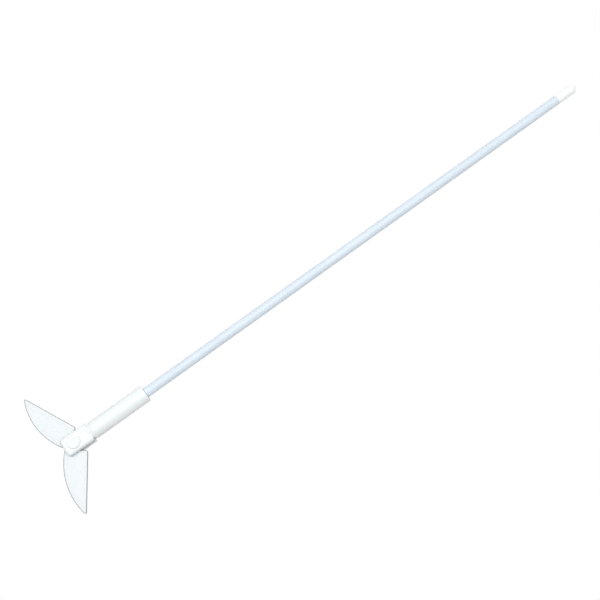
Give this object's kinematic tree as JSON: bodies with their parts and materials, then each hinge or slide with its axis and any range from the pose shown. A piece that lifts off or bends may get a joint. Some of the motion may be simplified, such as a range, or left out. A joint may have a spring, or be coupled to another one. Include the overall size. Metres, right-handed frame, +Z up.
{
  "type": "drill paint mixer",
  "caption": "Long slim drill mixer shaft with a forked hub at one end, where crescent blades swing open on a round-headed pin, and a rounded cap at the drill end.",
  "frame": {"origin": "on the shaft's axis at the drill end of the tube, where the chuck grips and the rounded cap begins", "axes": "+X along the shaft from the drill end to the blades, +Z up along the pivot pin towards its round head, so both blades swing in the level XY plane as the tool lies on a table"},
  "size_m": [0.5245, 0.0991, 0.0154],
  "materials": {
    "core_steel": "satin",
    "tube_plastic": "satin, slightly translucent",
    "white_plastic": "smooth, waxy",
    "washer_plastic": "smooth, waxy",
    "blade_plastic": "clear to milky sheet",
    "seal_rubber": "matt"
  },
  "bodies": {
    "shaft": {"core_rod": "core_steel", "shaft_tube": "tube_plastic", "end_cap": "white_plastic", "hub_fork": "white_plastic", "seal_ring": "seal_rubber", "pivot_pin": "white_plastic", "pivot_nut": "white_plastic", "slip_washer_front": "washer_plastic", "slip_washer_middle": "washer_plastic", "slip_washer_rear": "washer_plastic"},
    "front_blade": {"blade_front": "blade_plastic"},
    "rear_blade": {"blade_rear": "blade_plastic"}
  },
  "joints": [
    {"name": "front_blade_swing", "type": "hinge", "parent": "shaft", "child": "front_blade", "pos_m": [0.48, 0, 0.0012], "axis": [0, 0, 1], "range_deg": [-56, 59]},
    {"name": "rear_blade_swing", "type": "hinge", "parent": "shaft", "child": "rear_blade", "pos_m": [0.48, 0, -0.0012], "axis": [0, 0, -1], "range_deg": [-65, 50]}
  ]
}
